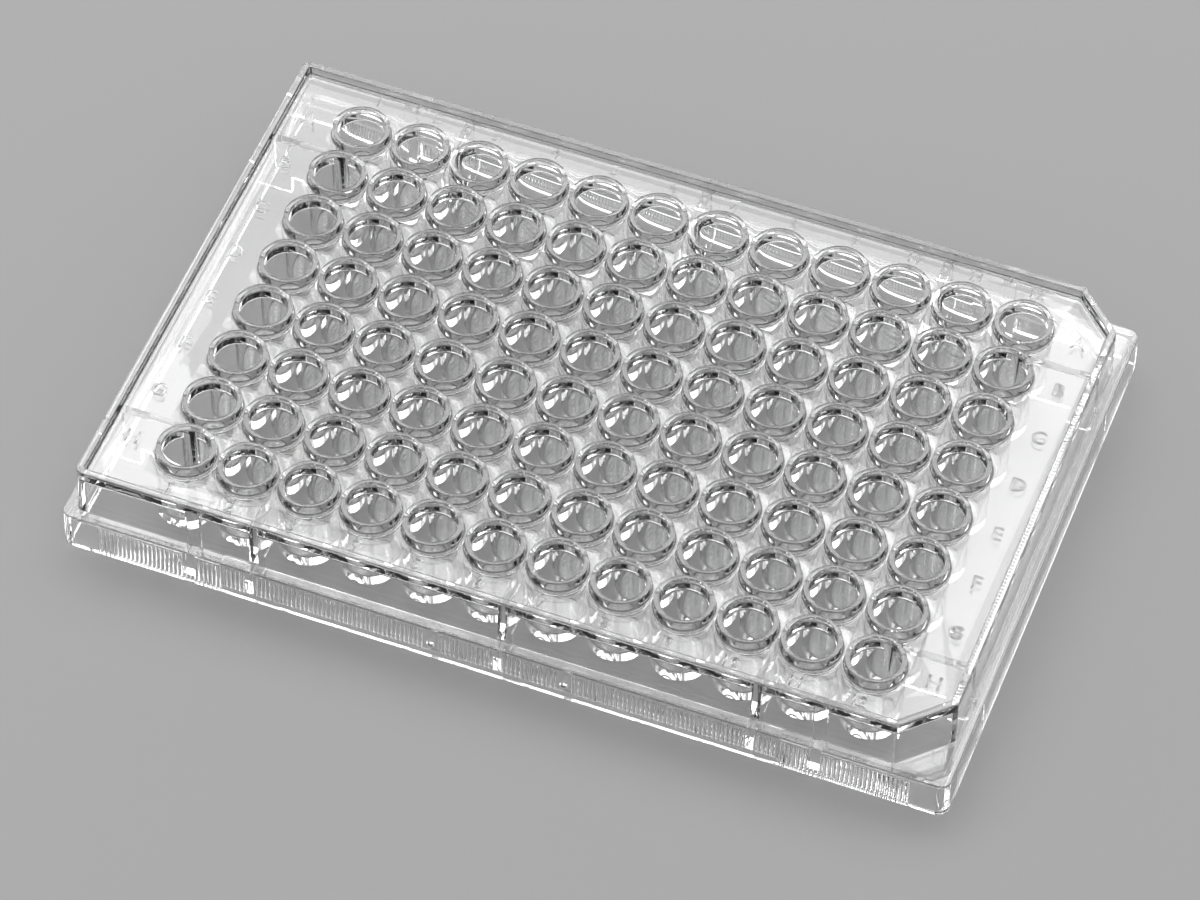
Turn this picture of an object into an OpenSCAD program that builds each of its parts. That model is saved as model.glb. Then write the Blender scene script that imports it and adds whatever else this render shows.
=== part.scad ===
// Assay plate with a grid of flat-bottomed wells: one clear moulding, open at the top.
// The deck is a shallow tray inside a low lip. The wells stand through it as tubes,
// and the wall steps out at a lid ledge to the flange that the plate stands on.
// +X runs along a row, +Y runs from the last row to row A, and Z = 0 is the bench.

/* [Well grid] */
// Number of columns of wells
columns = 12; // [6:1:12]
// Number of rows of wells
rows = 8; // [4:1:8]
// Distance between the middles of neighbouring wells
pitch = 9; // [9:0.05:9.6]
// From the short side of the flange to the middle of the first column
margin_x = 14.38; // [13.98:0.05:16.98]
// From the long side of the flange to the middle of the first row
margin_y = 11.24; // [10.99:0.05:14.49]

/* [Heights] */
// Height from the bench to the top of the well rims
height = 14.3; // [13.8:0.05:16]
// Height of the flange, up to the ledge that a lid rests on
flange_h = 6.1; // [5.6:0.05:8.1]
// How far the deck lies below the top of the well rims
deck_drop = 1.4; // [0.8:0.05:2]
// How far the top of the lip lies below the top of the well rims
lip_drop = 0.2; // [0:0.05:0.5]

/* [Wells] */
// Inside diameter of a well at its mouth
well_mouth_d = 6.86; // [6.5:0.02:7.1]
// Inside diameter of a well at its floor
well_floor_d = 6.35; // [5.8:0.05:6.45]
// Depth of a well from its mouth to its floor
well_depth = 10.7; // [9.5:0.05:11.5]
// Thickness of a well's floor
well_floor_t = 1.2; // [0.8:0.05:1.6]
// Width of the flat ring round a well's mouth
rim_w = 0.66; // [0.5:0.01:0.8]
// Thickness of a well's wall at its floor
tube_t = 0.95; // [0.7:0.01:1.05]
// Draft of the outside of a well under the deck, in degrees
tube_draft = 0.5; // [0.3:0.05:1]

/* [Walls] */
// Thickness of the deck
deck_t = 1.2; // [0.8:0.05:1.6]
// Thickness of the wall between the deck and the ledge
wall_t = 1.15; // [0.9:0.05:1.5]
// Thickness of the flange
flange_t = 1.3; // [1:0.05:1.6]
// Thickness of the lip that stands round the deck
lip_t = 1; // [0.8:0.05:1.3]
// Width of the ledge between the wall and the outside of the flange
ledge_w = 1.75; // [1.3:0.05:2.2]
// Thickness of the ledge
ledge_t = 1.1; // [0.9:0.05:1.6]

/* [Thinned flange] */
// Thickness of the flange in the middle stretch of each long side
thin_t = 0.75; // [0.5:0.05:0.9]
// Height of the full-thickness foot under the thinned stretch
thin_foot = 1; // [0.6:0.1:2]
// From the short side of the flange to the end of the thinned stretch
thin_margin = 23.7; // [22:0.1:26]

/* [Corners] */
// Radius of the flange's upright corners
flange_r = 1.6; // [1.2:0.1:3]
// Radius of the wall's upright corners beside column 1
wall_r = 1.2; // [0.8:0.1:2]
// Radius of the upright corners inside the walls
inside_r = 0.6; // [0.3:0.1:1]
// Length that each cut corner takes off the sides of the wall
corner_cut = 6.4; // [4:0.1:7]

/* [Webs] */
// Thickness of the webs that tie the walls to the wells
web_t = 1.05; // [0.8:0.05:1.3]
// Height of a web's lower edge above the bench
web_clear = 4.3; // [3:0.1:5]
// Height of the lower edge above the bench where a web meets the flange
web_foot_clear = 1.2; // [0.8:0.1:2.5]
// Length of the deeper part of a web, measured from the inside of the flange
web_foot_l = 4.1; // [3:0.1:5]

/* [Strips and pegs] */
// Width of the thick strips inside the long walls
strip_w = 1.8; // [1.2:0.1:2.4]
// How far a strip stands out from the wall
strip_t = 1; // [0.5:0.05:1.5]
// Height of a strip's lower end above the bench
strip_clear = 0.85; // [0.6:0.05:2]
// Diameter of the two pegs inside the front flange
peg_d = 1.15; // [0.8:0.05:1.6]
// Length of a peg, measured from the thinned flange
peg_l = 2.05; // [1:0.05:2.1]
// Height of a peg's middle above the bench
peg_z = 2.6; // [2.4:0.1:3.6]
// From the plate's middle to a peg, along the row
peg_x = 9.6; // [8:0.1:11]

/* [Hidden] */
$fn = 40;

base_l = (columns - 1) * pitch + 2 * margin_x;
base_w = (rows - 1) * pitch + 2 * margin_y;
wall_l = base_l - 2 * ledge_w;
wall_w = base_w - 2 * ledge_w;
deck_top = height - deck_drop;
deck_under = deck_top - deck_t;
ledge_under = flange_h - ledge_t;
well_floor = height - well_depth;
// from the inside of the flange to the inside of the wall
wall_in = ledge_w + wall_t - flange_t;
// from the inside of the flange out to the inside of the thinned stretch
thin_in = thin_t - flange_t;
tube_foot = well_floor - well_floor_t;
tube_foot_r = well_floor_d / 2 + tube_t;
rim_foot_r = tube_foot_r + (deck_top - tube_foot) * tan(tube_draft);
rim_r = well_mouth_d / 2 + rim_w;
// webs stand in the gaps after these columns and rows
web_columns = [2, round(columns / 2), columns - 2];
web_rows = [1, rows - 1];
// a cut runs this far past the face that it opens
past = 1;
// a piece is sunk this far into what carries it
sink = 0.2;

// Rectangle with rounded corners
module rounded_plan(length, width, r) {
    square([length - 2 * r, width], center = true);
    square([length, width - 2 * r], center = true);
    for (x = [r - length / 2, length / 2 - r], y = [r - width / 2, width / 2 - r])
        translate([x, y])
            circle(r);
}

// The same with the two corners beside the last column cut off at 45 degrees
module cut_plan(length, width, r, cut) {
    x = length / 2;
    y = width / 2;
    polygon([[r - x, -y], [x - cut, -y], [x, cut - y], [x, y - cut],
             [x - cut, y], [r - x, y], [-x, y - r], [-x, r - y]]);
    for (side = [-1, 1])
        translate([r - x, side * (y - r)])
            circle(r);
}

// Outline of the wall, inset so far from its outside
module wall_plan(inset, r) {
    cut_plan(wall_l - 2 * inset, wall_w - 2 * inset, r, corner_cut - (2 - sqrt(2)) * inset);
}

// The flange, the ledge, the wall and the lip, filled
module shell_outside() {
    linear_extrude(flange_h)
        rounded_plan(base_l, base_w, flange_r);
    linear_extrude(height - lip_drop)
        wall_plan(0, wall_r);
}

// The shell with the tray above the deck and the hollow under it taken out
module shell() {
    difference() {
        shell_outside();
        translate([0, 0, deck_top])
            linear_extrude(deck_drop + past)
                wall_plan(lip_t, inside_r);
        translate([0, 0, -past])
            linear_extrude(deck_under + past)
                wall_plan(wall_t, inside_r);
        translate([0, 0, -past])
            linear_extrude(ledge_under + past)
                rounded_plan(base_l - 2 * flange_t, base_w - 2 * flange_t, inside_r);
        translate([0, 0, thin_foot])
            linear_extrude(ledge_under - thin_foot)
                square([base_l - 2 * thin_margin, base_w - 2 * thin_t], center = true);
    }
}

// Outside of one well: its closed foot, its tube and its rim
module well_outside() {
    rotate_extrude()
        polygon([[0, tube_foot], [tube_foot_r, tube_foot], [rim_foot_r, deck_top],
                 [rim_r, height], [0, height]]);
}

// The tapered hollow of one well, open past its mouth
module well_hollow() {
    taper = (well_mouth_d - well_floor_d) / 2 / well_depth;
    translate([0, 0, well_floor])
        cylinder(h = well_depth + past, r1 = well_floor_d / 2,
                 r2 = well_mouth_d / 2 + past * taper);
}

// Puts its children at the middle of every well
module at_wells() {
    for (column = [1 : columns], row = [1 : rows])
        translate([(column - (columns + 1) / 2) * pitch, (row - (rows + 1) / 2) * pitch, 0])
            children();
}

// Stands an upright profile along +X, with x = 0 at the inside of the flange
module upright(thickness) {
    rotate([90, 0, 0])
        linear_extrude(thickness, center = true)
            children();
}

// One web. It ends in the slot between two wells, closed round by both tubes.
module web(reach) {
    upright(web_t)
        polygon([[thin_in - sink, web_foot_clear], [web_foot_l, web_foot_clear],
                 [web_foot_l, web_clear], [reach, web_clear], [reach, deck_under + sink],
                 [wall_in - sink, deck_under + sink], [wall_in - sink, ledge_under + sink],
                 [thin_in - sink, ledge_under + sink]]);
}

// One strip. It fills the step under the ledge and stands out from the wall above it.
module strip() {
    upright(strip_w)
        polygon([[-sink, strip_clear], [wall_in + strip_t, strip_clear],
                 [wall_in + strip_t, deck_under + sink], [wall_in - sink, deck_under + sink],
                 [wall_in - sink, ledge_under + sink], [-sink, ledge_under + sink]]);
}

// One round peg
module peg() {
    translate([thin_in - sink, 0, peg_z])
        rotate([0, 90, 0])
            cylinder(h = sink + peg_l, d = peg_d);
}

// Puts its children inside one side, their +X pointing to the middle of the plate
module on_side(turn, length, along) {
    rotate([0, 0, turn])
        translate([flange_t - length / 2, along, 0])
            children();
}

// All the webs, strips and pegs
module fittings() {
    for (turn = [0, 180], gap = web_rows)
        on_side(turn, base_l, (gap - rows / 2) * pitch)
            web(margin_x - flange_t);
    for (turn = [90, 270], gap = web_columns)
        on_side(turn, base_w, (gap - columns / 2) * pitch)
            web(margin_y - flange_t);
    for (turn = [90, 270], gap = [1, columns - 1])
        on_side(turn, base_w, (gap - columns / 2) * pitch)
            strip();
    for (side = [-1, 1])
        on_side(90, base_w, side * peg_x)
            peg();
}

// The whole moulding
module plate() {
    color([0.84, 0.91, 0.94, 0.6])
        difference() {
            union() {
                shell();
                at_wells()
                    well_outside();
                fittings();
            }
            at_wells()
                well_hollow();
        }
}

plate();
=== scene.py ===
"""An assay plate with a grid of flat-bottomed wells, one clear moulding, standing empty on a bench."""

import math

import bmesh
import bpy
from mathutils import Matrix, Vector


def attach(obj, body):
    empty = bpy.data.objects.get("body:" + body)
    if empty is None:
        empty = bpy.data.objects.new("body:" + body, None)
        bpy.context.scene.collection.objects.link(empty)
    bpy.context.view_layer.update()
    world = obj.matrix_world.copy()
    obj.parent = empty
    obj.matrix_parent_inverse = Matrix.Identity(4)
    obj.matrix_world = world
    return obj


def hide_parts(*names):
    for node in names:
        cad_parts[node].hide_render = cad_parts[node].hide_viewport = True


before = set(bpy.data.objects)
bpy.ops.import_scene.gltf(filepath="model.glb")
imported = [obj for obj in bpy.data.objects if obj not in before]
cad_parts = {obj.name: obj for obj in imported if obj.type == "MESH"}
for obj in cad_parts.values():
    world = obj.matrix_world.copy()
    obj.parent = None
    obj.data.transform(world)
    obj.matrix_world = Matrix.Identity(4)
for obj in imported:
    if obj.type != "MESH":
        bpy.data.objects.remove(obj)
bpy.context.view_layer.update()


# ---- Deck and wells ----------------------------------------------------------------------------
# The deck is one flat web of clear polystyrene. Each well is a tapered tube with a closed flat
# foot, moulded through the deck so that its rim stands proud. All edges leave the mould slightly
# rounded. Everything is drawn in millimetres here and brought to metres when the moulding is whole.

COLUMNS, ROWS, PITCH = 12, 8, 9.0
PLATE_TOP, DECK_TOP, DECK_UNDER = 14.3, 12.9, 11.7
SPOKES = 36

# radius and height down one well, from where its rim grows out of the deck to the edge of its floor
WELL_INSIDE = [
    (4.40, DECK_TOP),
    (4.26, 12.955),
    (4.20, 13.10),
    (4.12, 14.22),
    (4.105, 14.28),
    (4.05, PLATE_TOP),
    (3.47, PLATE_TOP),
    (3.44, 14.285),
    (3.43, 14.25),
    (3.19, 4.10),
    (3.12, 3.82),
    (2.96, 3.66),
    (2.70, 3.60),
]
# the same for the outside, from the deck's underside to the edge of the closed foot
WELL_OUTSIDE = [
    (4.44, DECK_UNDER),
    (4.27, 11.63),
    (4.20, 11.46),
    (4.125, 2.62),
    (4.06, 2.465),
    (3.90, 2.40),
]


def well_ring(bm, x, y, radius, z):
    turns = [math.tau * (k + 0.5) / SPOKES for k in range(SPOKES)]
    return [bm.verts.new((x + radius * math.cos(a), y + radius * math.sin(a), z)) for a in turns]


def skin(bm, first, second):
    """Quads between two closed rings of as many points."""
    for k in range(len(first)):
        j = (k + 1) % len(first)
        bm.faces.new((first[k], first[j], second[j], second[k]))


def square_round(bm, corners, ring):
    """The flat of one square of the deck, from its four corners to the round of its well."""
    quarter = SPOKES // 4
    for q in range(4):
        arc = [ring[(quarter * q + k) % SPOKES] for k in range(quarter)]
        for a, b in zip(arc, arc[1:]):
            bm.faces.new((corners[q], a, b))
        after = ring[(quarter * (q + 1)) % SPOKES]
        bm.faces.new((corners[q], arc[-1], after, corners[(q + 1) % 4]))


body = bmesh.new()
edge_x, edge_y = COLUMNS * PITCH / 2, ROWS * PITCH / 2
for profile in (WELL_INSIDE, WELL_OUTSIDE):
    level = profile[0][1]
    lattice = [
        [body.verts.new((i * PITCH - edge_x, j * PITCH - edge_y, level)) for j in range(ROWS + 1)]
        for i in range(COLUMNS + 1)
    ]
    for i in range(COLUMNS):
        for j in range(ROWS):
            x, y = (i + 0.5) * PITCH - edge_x, (j + 0.5) * PITCH - edge_y
            rings = [well_ring(body, x, y, radius, z) for radius, z in profile]
            corners = (lattice[i + 1][j + 1], lattice[i][j + 1], lattice[i][j], lattice[i + 1][j])
            square_round(body, corners, rings[0])
            for upper, lower in zip(rings, rings[1:]):
                skin(body, upper, lower)
            body.faces.new(rings[-1])
    rim_of_lattice = (
        [lattice[i][0] for i in range(COLUMNS + 1)]
        + [lattice[COLUMNS][j] for j in range(1, ROWS + 1)]
        + [lattice[i][ROWS] for i in range(COLUMNS - 1, -1, -1)]
        + [lattice[0][j] for j in range(ROWS - 1, 0, -1)]
    )
    if profile is WELL_INSIDE:
        deck_edge = rim_of_lattice
    else:
        deck_under_edge = rim_of_lattice


# ---- Lip, wall, ledge and flange ---------------------------------------------------------------
# Round the deck stands a low lip. From it the wall drops, with a little draft, to the ledge that a
# lid rests on, and the ledge steps out to the flange that the plate stands on. The wall's two
# corners beside the last column are cut off at 45 degrees, to show which way round the plate is.

BASE_X, BASE_Y = 127.76 / 2, 85.48 / 2
WALL_INSET, CORNER_CUT = 1.75, 6.4
FLANGE, WALL = "flange", "wall"

# how far inside the footprint each ring of the skin lies, its height and whose outline it follows
SHELL = [
    (3.22, DECK_TOP, WALL),
    (3.06, 12.955, WALL),
    (2.99, 13.10, WALL),
    (2.88, 13.93, WALL),
    (2.83, 14.04, WALL),
    (2.72, 14.085, WALL),
    (2.02, 14.085, WALL),
    (1.90, 14.04, WALL),
    (1.86, 13.93, WALL),
    (1.75, 6.26, WALL),
    (1.71, 6.15, WALL),
    (1.59, 6.10, WALL),
    (0.30, 6.10, FLANGE),
    (0.15, 6.045, FLANGE),
    (0.09, 5.90, FLANGE),
    (0.00, 0.10, FLANGE),
    (0.03, 0.03, FLANGE),
    (0.10, 0.00, FLANGE),
    (1.17, 0.00, FLANGE),
    (1.24, 0.03, FLANGE),
    (1.27, 0.10, FLANGE),
    (1.34, 4.85, FLANGE),
    (1.38, 4.96, FLANGE),
    (1.49, 5.00, FLANGE),
    (2.74, 5.00, WALL),
    (2.88, 5.055, WALL),
    (2.94, 5.20, WALL),
    (3.02, 11.46, WALL),
    (3.09, 11.63, WALL),
    (3.26, DECK_UNDER, WALL),
]


def round_corner(half_x, half_y, radius):
    """Six points round the corner in the first quarter, from the +X side to the +Y side."""
    turns = [math.radians(18 * k) for k in range(6)]
    return [
        (half_x - radius + radius * math.cos(a), half_y - radius + radius * math.sin(a))
        for a in turns
    ]


def cut_corner(half_x, half_y, cut, radius):
    """The same for a corner cut off at 45 degrees, with its two edges softened."""
    run = radius * math.tan(math.radians(22.5))
    points = []
    for x, y, start in (
        (half_x - radius, half_y - cut - run, 0),
        (half_x - cut - run, half_y - radius, 45),
    ):
        for step in range(3):
            a = math.radians(start + 22.5 * step)
            points.append((x + radius * math.cos(a), y + radius * math.sin(a)))
    return points


def shell_ring(bm, inset, z, outline):
    half_x, half_y = BASE_X - inset, BASE_Y - inset
    from_wall = inset - WALL_INSET
    points = []
    for sx, sy in ((1, 1), (-1, 1), (-1, -1), (1, -1)):
        if outline == FLANGE:
            corner = round_corner(half_x, half_y, max(1.6 - inset, 0.6))
        elif sx > 0:
            cut = CORNER_CUT - (2 - math.sqrt(2)) * from_wall
            corner = cut_corner(half_x, half_y, cut, 0.5)
        else:
            corner = round_corner(half_x, half_y, max(1.2 - from_wall, 0.45))
        if sx * sy < 0:
            corner.reverse()
        points += [(sx * x, sy * y) for x, y in corner]
    return [bm.verts.new((x, y, z)) for x, y in points]


def loop_edges(bm, loop):
    return [
        bm.edges.get((a, b)) or bm.edges.new((a, b)) for a, b in zip(loop, loop[1:] + loop[:1])
    ]


shell_rings = [shell_ring(body, *row) for row in SHELL]
for outer, inner in zip(shell_rings, shell_rings[1:]):
    skin(body, outer, inner)
for lattice_rim, ring in ((deck_edge, shell_rings[0]), (deck_under_edge, shell_rings[-1])):
    edges = loop_edges(body, lattice_rim) + loop_edges(body, ring)
    bmesh.ops.triangle_fill(body, use_beauty=True, use_dissolve=False, edges=edges)
bmesh.ops.recalc_face_normals(body, faces=body.faces)

body_mesh = bpy.data.meshes.new("moulding")
body.to_mesh(body_mesh)
body.free()
moulding = bpy.data.objects.new("moulding", body_mesh)
bpy.context.scene.collection.objects.link(moulding)


# ---- Webs, strips and pegs ---------------------------------------------------------------------
# Ten thin webs hang under the deck and tie the walls to the outermost wells, so that the plate
# stays flat. Two thick strips run down inside each long wall, and two small round pegs stand out
# from the front of the flange. All are moulded in one with the rest.

LEDGE_UNDER, FLANGE_INSIDE, WALL_INSIDE = 5.0, 1.27, 2.98
THINNED_INSIDE, THINNED_FOOT, THINNED_TOP, THINNED_HALF = 0.73, 1.0, 5.5, 40.2
WEB_FOOT, WEB_STEP, WEB_CLEAR, WEB_IN_LEDGE = 1.2, 5.4, 4.3, 0.25
WEB_LONG_SIDE, WEB_SHORT_SIDE, STRIP_WIDTH, STRIP_FOOT = 1.05, 0.95, 1.7, 0.85
PEG_HEIGHT = 2.6
DRAFT = 0.015
# how far a fitting is sunk into what carries it
SUNK = 0.35


def upright_slab(outline, thickness):
    """A slab with the given outline, in distance inwards from the footprint's edge and height."""
    bm = bmesh.new()
    near = [bm.verts.new((u, -thickness / 2 - DRAFT * z, z)) for u, z in outline]
    far = [bm.verts.new((u, thickness / 2 + DRAFT * z, z)) for u, z in outline]
    bm.faces.new(near)
    bm.faces.new(far)
    skin(bm, near, far)
    bmesh.ops.recalc_face_normals(bm, faces=bm.faces)
    corners = [e for e in bm.edges if (e.verts[0].co.y < 0) == (e.verts[1].co.y < 0)]
    bmesh.ops.bevel(bm, geom=corners, offset=0.07, segments=1, affect="EDGES", clamp_overlap=True)
    return bm


def on_side(turn, along):
    """Places +X as the way in from the footprint's edge, on the side that the turn points from."""
    half = BASE_X if turn % 180 == 0 else BASE_Y
    return Matrix.Rotation(math.radians(turn), 4, "Z") @ Matrix.Translation((-half, along, 0))


def add_to(bm, part, place):
    bmesh.ops.recalc_face_normals(part, faces=part.faces)
    part.transform(place)
    piece = bpy.data.meshes.new("fitting")
    part.to_mesh(piece)
    part.free()
    bm.from_mesh(piece)
    bpy.data.meshes.remove(piece)


def web_outline(reach):
    return [
        (THINNED_INSIDE - SUNK, WEB_FOOT),
        (WEB_STEP, WEB_FOOT),
        (WEB_STEP, WEB_CLEAR),
        (reach, WEB_CLEAR),
        (reach, DECK_UNDER + SUNK),
        (WALL_INSIDE - SUNK, DECK_UNDER + SUNK),
        (WALL_INSIDE - SUNK, THINNED_TOP + WEB_IN_LEDGE),
        (THINNED_INSIDE - SUNK, THINNED_TOP + WEB_IN_LEDGE),
    ]


STRIP_OUTLINE = [
    (FLANGE_INSIDE - SUNK, STRIP_FOOT),
    (3.88, STRIP_FOOT),
    (4.0, DECK_UNDER + SUNK),
    (WALL_INSIDE - SUNK, DECK_UNDER + SUNK),
    (WALL_INSIDE - SUNK, LEDGE_UNDER + SUNK),
    (FLANGE_INSIDE - SUNK, LEDGE_UNDER + SUNK),
]
WEBS_LONG, WEBS_SHORT, STRIPS, PEGS = (-36.0, 0.0, 36.0), (-27.0, 27.0), (-45.0, 45.0), (-9.6, 9.6)

fittings = bmesh.new()
for turn in (90, 270):
    for along in WEBS_LONG:
        web = upright_slab(web_outline(BASE_Y - (ROWS - 1) * PITCH / 2), WEB_LONG_SIDE)
        add_to(fittings, web, on_side(turn, along))
    for along in STRIPS:
        add_to(fittings, upright_slab(STRIP_OUTLINE, STRIP_WIDTH), on_side(turn, along))
for turn in (0, 180):
    for along in WEBS_SHORT:
        web = upright_slab(web_outline(BASE_X - (COLUMNS - 1) * PITCH / 2), WEB_SHORT_SIDE)
        add_to(fittings, web, on_side(turn, along))
for along in PEGS:
    peg = bmesh.new()
    rings = []
    for u, radius in ((THINNED_INSIDE - SUNK, 0.59), (2.72, 0.56), (2.8, 0.48)):
        turns = [math.tau * k / 24 for k in range(24)]
        rings.append(
            [
                peg.verts.new((u, radius * math.cos(a), PEG_HEIGHT + radius * math.sin(a)))
                for a in turns
            ]
        )
    for outer, inner in zip(rings, rings[1:]):
        skin(peg, outer, inner)
    peg.faces.new(rings[0])
    peg.faces.new(rings[-1])
    add_to(fittings, peg, on_side(90, along))


# ---- Thinned flange and grip ribs --------------------------------------------------------------
# In the middle of each long side the flange is thinned from inside, above a foot of its full
# thickness. Fine upright ribs with sloping sides cover the inside of the flange all round, and end
# free a little below the ledge. They stop short of the corners and leave a plain panel at each peg.

RIB_PITCH, RIB_DEPTH = 0.635, 0.2
# one rib and its groove: how far along the pitch each point lies, and how far out of the groove
RIB_PROFILE = [(0.0, 0), (0.15, 0), (0.45, 1), (0.70, 1)]
CORNER_PLAIN, END_PLAIN, PEG_PLAIN = 5.4, 0.4, 1.05
MIDDLE_HEAD, OUTER_HEAD, OUTER_FOOT = 4.92, 4.46, 0.12
RECESS_REACH, GROOVE_SKIN = 2.2, 0.02


def thinned_cutter():
    """What is taken out of the inside of one long side."""
    bm = bmesh.new()
    outline = (
        (THINNED_INSIDE + DRAFT * THINNED_FOOT, THINNED_FOOT),
        (THINNED_INSIDE + DRAFT * THINNED_TOP, THINNED_TOP),
        (RECESS_REACH, THINNED_TOP),
        (RECESS_REACH, THINNED_FOOT),
    )
    ends = [[bm.verts.new((u, y, z)) for u, z in outline] for y in (-THINNED_HALF, THINNED_HALF)]
    bm.faces.new(ends[0])
    bm.faces.new(ends[1])
    skin(bm, *ends)
    return bm


def rib_run(start, length, face, foot, head):
    """Ribs side by side between two heights, as a closed slab sunk in the flange."""
    count = max(round(length / RIB_PITCH), 1)
    profile = [(k + place, out) for k in range(count) for place, out in RIB_PROFILE]
    profile.append((count, 0))
    bm = bmesh.new()
    rows = []
    for z in (foot, head):
        groove = face + DRAFT * z + GROOVE_SKIN
        row = [
            bm.verts.new((groove + RIB_DEPTH * out, start + length * place / count, z))
            for place, out in profile
        ]
        row += [bm.verts.new((face - SUNK, y, z)) for y in (start + length, start)]
        rows.append(row)
    skin(bm, *rows)
    bm.faces.new(rows[0])
    bm.faces.new(rows[1])
    return bm


def rib_runs(first, last, plain):
    """The lengths between the plain panels, as (start, length)."""
    stops = [(first, first)] + sorted(plain) + [(last, last)]
    return [(a[1], b[0] - a[1]) for a, b in zip(stops, stops[1:])]


recess, ribs = bmesh.new(), bmesh.new()
for turn in (90, 270):
    add_to(recess, thinned_cutter(), on_side(turn, 0))
    plain = [(at - PEG_PLAIN, at + PEG_PLAIN) for at in PEGS] if turn == 90 else []
    for start, length in rib_runs(END_PLAIN - THINNED_HALF, THINNED_HALF - END_PLAIN, plain):
        run = rib_run(start, length, THINNED_INSIDE, THINNED_FOOT - SUNK, MIDDLE_HEAD)
        add_to(ribs, run, on_side(turn, 0))
    outer = BASE_X - CORNER_PLAIN - THINNED_HALF
    for start in (CORNER_PLAIN - BASE_X, THINNED_HALF):
        run = rib_run(start, outer, FLANGE_INSIDE, OUTER_FOOT, OUTER_HEAD)
        add_to(ribs, run, on_side(turn, 0))
for turn in (0, 180):
    side = 2 * (BASE_Y - CORNER_PLAIN)
    run = rib_run(-side / 2, side, FLANGE_INSIDE, OUTER_FOOT, OUTER_HEAD)
    add_to(ribs, run, on_side(turn, 0))


# ---- Letters and numbers -----------------------------------------------------------------------
# The rows are lettered at both ends of the deck and the columns are numbered along its front and
# rear, in plain upright capitals and figures. They are cut into the mould, so they stand a little
# proud of the deck.

LETTER_HEIGHT, FIGURE_HEIGHT, RAISED, SLOPE = 2.4, 2.0, 0.07, 0.03
LETTER_COLUMNS, FIGURE_ROWS = (-57.5, 57.6), (-38.0, 38.2)


def raised_sign(sign, height, x, y):
    """One letter or number as a closed solid, standing on the deck with its middle at x, y."""
    drawn = bpy.data.curves.new("sign", "FONT")
    drawn.body = sign
    drawn.resolution_u = 3
    drawn.extrude = 0.5
    drawn.bevel_depth = SLOPE
    drawn.bevel_resolution = 0
    holder = bpy.data.objects.new("sign", drawn)
    bpy.context.scene.collection.objects.link(holder)
    solid = bpy.data.meshes.new_from_object(holder.evaluated_get(bpy.context.evaluated_depsgraph_get()))
    bpy.data.objects.remove(holder)
    bpy.data.curves.remove(drawn)
    bm = bmesh.new()
    bm.from_mesh(solid)
    bpy.data.meshes.remove(solid)
    bmesh.ops.remove_doubles(bm, verts=bm.verts, dist=1e-5)
    low = [min(v.co[i] for v in bm.verts) for i in range(3)]
    high = [max(v.co[i] for v in bm.verts) for i in range(3)]
    scale = height / (high[1] - low[1])
    for v in bm.verts:
        v.co = (
            x + (v.co.x - (low[0] + high[0]) / 2) * scale,
            y + (v.co.y - (low[1] + high[1]) / 2) * scale,
            DECK_TOP + (RAISED if v.co.z > 0.5 + SLOPE / 2 else -0.01 if v.co.z > 0 else -0.3),
        )
    return bm


for row in range(ROWS):
    y = (ROWS - 1) * PITCH / 2 - row * PITCH
    for x in LETTER_COLUMNS:
        add_to(fittings, raised_sign("ABCDEFGH"[row], LETTER_HEIGHT, x, y), Matrix.Identity(4))
for column in range(COLUMNS):
    x = column * PITCH - (COLUMNS - 1) * PITCH / 2
    for y in FIGURE_ROWS:
        add_to(fittings, raised_sign(str(column + 1), FIGURE_HEIGHT, x, y), Matrix.Identity(4))


# ---- The moulding as one piece -----------------------------------------------------------------
# The melt fills walls, wells, webs, ribs and signs in one shot, so they are joined here into one
# closed skin with nothing inside it. It is brought to metres, and stands for the whole plate.

steps = []
for name, drawn, operation in (
    ("recess", recess, "DIFFERENCE"),
    ("fittings", fittings, "UNION"),
    ("ribs", ribs, "UNION"),
):
    mesh = bpy.data.meshes.new(name)
    drawn.to_mesh(mesh)
    drawn.free()
    steps.append(bpy.data.objects.new(name, mesh))
    bpy.context.scene.collection.objects.link(steps[-1])
    weld = moulding.modifiers.new(name, "BOOLEAN")
    weld.operation, weld.solver, weld.object = operation, "MANIFOLD", steps[-1]
one_skin = bpy.data.meshes.new_from_object(
    moulding.evaluated_get(bpy.context.evaluated_depsgraph_get())
)
moulding.modifiers.clear()
for step in steps:
    bpy.data.objects.remove(step)

one_skin.transform(Matrix.Scale(0.001, 4))
one_skin.shade_smooth()
one_skin.set_sharp_from_angle(angle=math.radians(50))
moulding.data = one_skin
evened = moulding.modifiers.new("even normals", "WEIGHTED_NORMAL")
evened.keep_sharp = True


# ---- Clear polystyrene -------------------------------------------------------------------------
# Crystal polystyrene straight from a polished mould: clear, hard and glossy. Its skin has the
# faintest flow ripple and a slightly uneven polish. Lamps shine through it to the bench.

polystyrene = bpy.data.materials.new("clear polystyrene")
polystyrene.use_nodes = True
nodes, links = polystyrene.node_tree.nodes, polystyrene.node_tree.links
nodes.clear()
plastic = nodes.new("ShaderNodeBsdfPrincipled")
plastic.inputs["Base Color"].default_value = (0.982, 0.984, 0.984, 1)
plastic.inputs["Metallic"].default_value = 0.0
plastic.inputs["Transmission Weight"].default_value = 1.0
plastic.inputs["IOR"].default_value = 1.59

where = nodes.new("ShaderNodeTexCoord")
polish = nodes.new("ShaderNodeTexNoise")
polish.inputs["Scale"].default_value = 90.0
polish.inputs["Detail"].default_value = 3.0
polish_range = nodes.new("ShaderNodeMapRange")
polish_range.inputs["From Min"].default_value = 0.62
polish_range.inputs["From Max"].default_value = 0.8
polish_range.inputs["To Min"].default_value = 0.0
polish_range.inputs["To Max"].default_value = 0.05
links.new(where.outputs["Object"], polish.inputs["Vector"])
links.new(polish.outputs["Fac"], polish_range.inputs["Value"])
links.new(polish_range.outputs["Result"], plastic.inputs["Roughness"])

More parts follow.
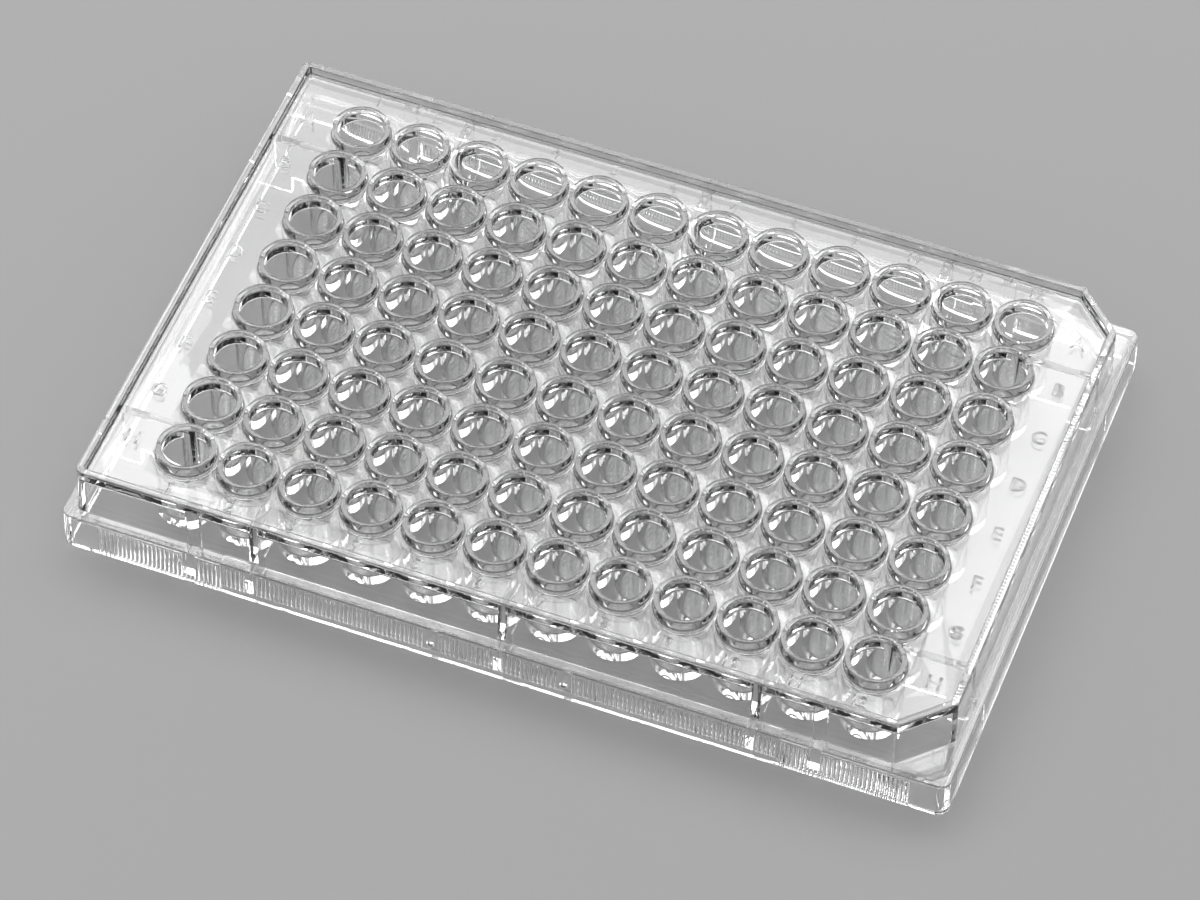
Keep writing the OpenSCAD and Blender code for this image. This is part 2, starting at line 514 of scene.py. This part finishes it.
flow = nodes.new("ShaderNodeTexNoise")
flow.inputs["Scale"].default_value = 45.0
flow.inputs["Detail"].default_value = 1.0
ripple = nodes.new("ShaderNodeBump")
ripple.inputs["Strength"].default_value = 0.015
ripple.inputs["Distance"].default_value = 0.0003
links.new(where.outputs["Object"], flow.inputs["Vector"])
links.new(flow.outputs["Fac"], ripple.inputs["Height"])
links.new(ripple.outputs["Normal"], plastic.inputs["Normal"])

lamplight = nodes.new("ShaderNodeBsdfTransparent")
lamplight.inputs["Color"].default_value = (0.80, 0.80, 0.80, 1)
path = nodes.new("ShaderNodeLightPath")
lets_light = nodes.new("ShaderNodeMixShader")
surface = nodes.new("ShaderNodeOutputMaterial")
links.new(path.outputs["Is Shadow Ray"], lets_light.inputs["Fac"])
links.new(plastic.outputs["BSDF"], lets_light.inputs[1])
links.new(lamplight.outputs["BSDF"], lets_light.inputs[2])
links.new(lets_light.outputs["Shader"], surface.inputs["Surface"])

one_skin.materials.clear()
one_skin.materials.append(polystyrene)
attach(moulding, "root")
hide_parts("plate")


# ---- Bench, lamps and camera -------------------------------------------------------------------
# A plain pale bench that runs away to nothing. Five softboxes stand side by side behind the plate,
# where the deck mirrors them, and the room is an even light grey.

floor_mesh = bpy.data.meshes.new("bench")
reach = 6.0
floor_mesh.from_pydata(
    [(-reach, -reach, 0), (reach, -reach, 0), (reach, reach, 0), (-reach, reach, 0)],
    [],
    [(0, 1, 2, 3)],
)
bench = bpy.data.objects.new("bench", floor_mesh)
bpy.context.scene.collection.objects.link(bench)
bench.location.z = -0.0002
bench_paint = bpy.data.materials.new("pale bench")
bench_paint.use_nodes = True
paint = bench_paint.node_tree.nodes["Principled BSDF"]
paint.inputs["Roughness"].default_value = 0.55
paint.inputs["Specular IOR Level"].default_value = 0.3
speckle = bench_paint.node_tree.nodes.new("ShaderNodeTexNoise")
speckle.inputs["Scale"].default_value = 14.0
tones = bench_paint.node_tree.nodes.new("ShaderNodeValToRGB")
tones.color_ramp.elements[0].position, tones.color_ramp.elements[0].color = 0.3, (0.40, 0.40, 0.40, 1)
tones.color_ramp.elements[1].position, tones.color_ramp.elements[1].color = 0.7, (0.43, 0.43, 0.43, 1)
bench_paint.node_tree.links.new(speckle.outputs["Fac"], tones.inputs["Fac"])
bench_paint.node_tree.links.new(tones.outputs["Color"], paint.inputs["Base Color"])
floor_mesh.materials.append(bench_paint)

room = bpy.data.worlds.new("room")
room.use_nodes = True
room.node_tree.nodes["Background"].inputs["Color"].default_value = (0.82, 0.82, 0.82, 1)
room.node_tree.nodes["Background"].inputs["Strength"].default_value = 0.7
bpy.context.scene.world = room


def softbox(name, azimuth, elevation, distance, width, height, watts):
    """An area lamp that looks at the plate from that side and height, in degrees."""
    lamp = bpy.data.lights.new(name, "AREA")
    lamp.shape, lamp.size, lamp.size_y, lamp.energy = "RECTANGLE", width, height, watts
    holder = bpy.data.objects.new(name, lamp)
    bpy.context.scene.collection.objects.link(holder)
    a, e = math.radians(azimuth), math.radians(elevation)
    way = Vector((math.sin(a) * math.cos(e), -math.cos(a) * math.cos(e), math.sin(e)))
    holder.location = way * distance
    holder.rotation_euler = way.to_track_quat("Z", "Y").to_euler()


for turn in (-48, -24, 0, 24, 48):
    softbox(f"softbox {turn:+d}", 199.5 + turn, 51.0, 1.6, 0.53, 0.62, 2.6)

view = bpy.data.cameras.new("camera")
view.lens, view.sensor_width = 176.3, 36.0
view.clip_start = 0.05
camera = bpy.data.objects.new("camera", view)
bpy.context.scene.collection.objects.link(camera)
looks_at = Vector((0.00297, -0.01155, 0.0143))
camera.location = (0.17163, -0.48896, 0.63117)
level = (looks_at - camera.location).to_track_quat("-Z", "Y").to_matrix().to_4x4()
tilt = Matrix.Rotation(math.radians(1.563), 4, "Z")
camera.rotation_euler = (level @ tilt).to_euler()
bpy.context.scene.camera = camera

bpy.context.scene.view_settings.view_transform = "Standard"

# light has to cross many thin clear walls on its way through the plate
BOUNCES = 12
bpy.context.scene.cycles.max_bounces = BOUNCES
bpy.context.scene.cycles.transmission_bounces = BOUNCES
bpy.context.scene.cycles.glossy_bounces = BOUNCES
